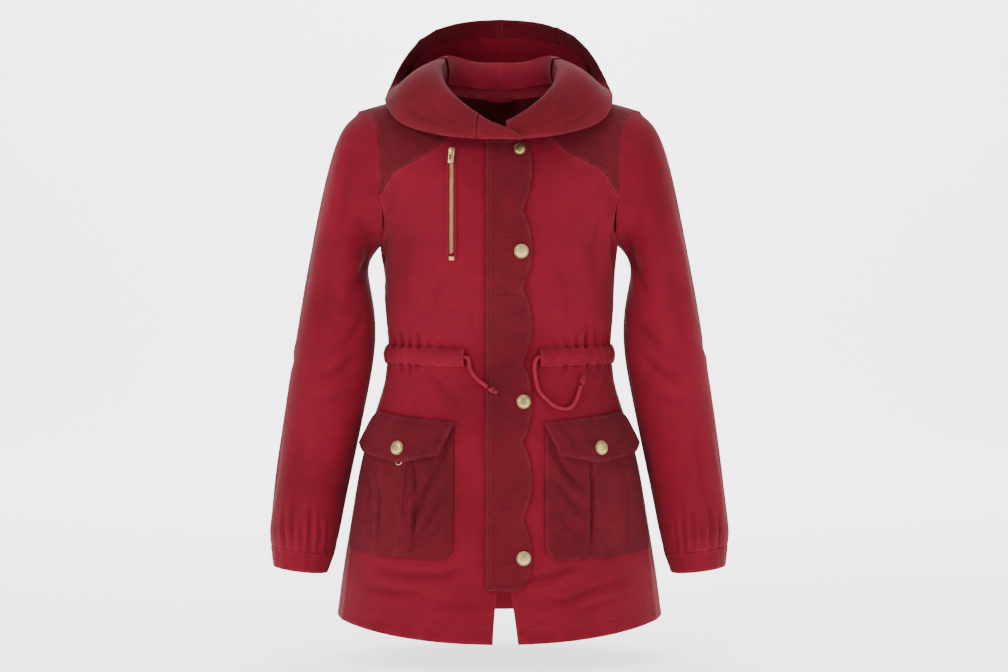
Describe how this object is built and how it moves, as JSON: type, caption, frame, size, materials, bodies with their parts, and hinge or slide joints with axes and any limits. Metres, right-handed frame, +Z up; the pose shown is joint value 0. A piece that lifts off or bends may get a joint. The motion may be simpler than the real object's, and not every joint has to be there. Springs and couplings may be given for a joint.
{
  "type": "hooded parka jacket",
  "caption": "Hooded canvas parka in worn form, with long sleeves, a scalloped snap placket, flapped pleat pockets, a chest zip and a corded waist.",
  "frame": {"origin": "midway between the two high shoulder points, where the shoulder seams meet the neckline", "axes": "+Z up, from hem to neck; the garment's front faces -Y; +X is the wearer's left"},
  "size_m": [0.602, 0.3147, 0.8241],
  "materials": {
    "bright_red_canvas": "bright crimson cotton-nylon canvas, plain weave, washed and slightly faded at the seams",
    "burgundy_canvas": "dark red cotton-nylon canvas, plain weave, washed and slightly faded at the seams",
    "red_cord": "braided crimson cord with frayed, knotted ends",
    "antique_brass": "pale antique brass, satin, slightly tarnished",
    "zip_tape": "dark red woven tape"
  },
  "bodies": {
    "body": {"back_left": "bright_red_canvas", "back_right": "bright_red_canvas", "back_yoke": "burgundy_canvas", "chest_zip_chain": "antique_brass", "chest_zip_slider": "antique_brass", "chest_zip_stop": "antique_brass", "cuff_left": "bright_red_canvas", "cuff_right": "bright_red_canvas", "drawcord_knot_left": "red_cord", "drawcord_knot_right": "red_cord", "drawcord_left": "red_cord", "drawcord_right": "red_cord", "flap_snap_left": "antique_brass", "flap_snap_right": "antique_brass", "front_left": "bright_red_canvas", "front_right": "bright_red_canvas", "front_yoke_left": "burgundy_canvas", "front_yoke_right": "burgundy_canvas", "front_zip": "zip_tape", "hanger_loop": "bright_red_canvas", "hood_end": "bright_red_canvas", "hood_left": "burgundy_canvas", "hood_lining_left": "bright_red_canvas", "hood_lining_right": "bright_red_canvas", "hood_right": "burgundy_canvas", "placket": "burgundy_canvas", "placket_snap_1": "antique_brass", "placket_snap_2": "antique_brass", "placket_snap_3": "antique_brass", "placket_snap_4": "antique_brass", "pocket_flap_left": "burgundy_canvas", "pocket_flap_right": "burgundy_canvas", "pocket_left": "burgundy_canvas", "pocket_right": "burgundy_canvas", "sleeve_left": "bright_red_canvas", "sleeve_right": "bright_red_canvas", "waist_casing_back": "bright_red_canvas", "waist_casing_front_left": "bright_red_canvas", "waist_casing_front_right": "bright_red_canvas"},
    "zip_pull": {"chest_zip_pull": "antique_brass"}
  },
  "joints": [
    {"name": "zip_pull_hinge", "type": "hinge", "parent": "body", "child": "zip_pull", "pos_m": [-0.06069, -0.10177, -0.09338], "axis": [-0.988, 0.1544, 0], "range_deg": [0, 130]}
  ]
}
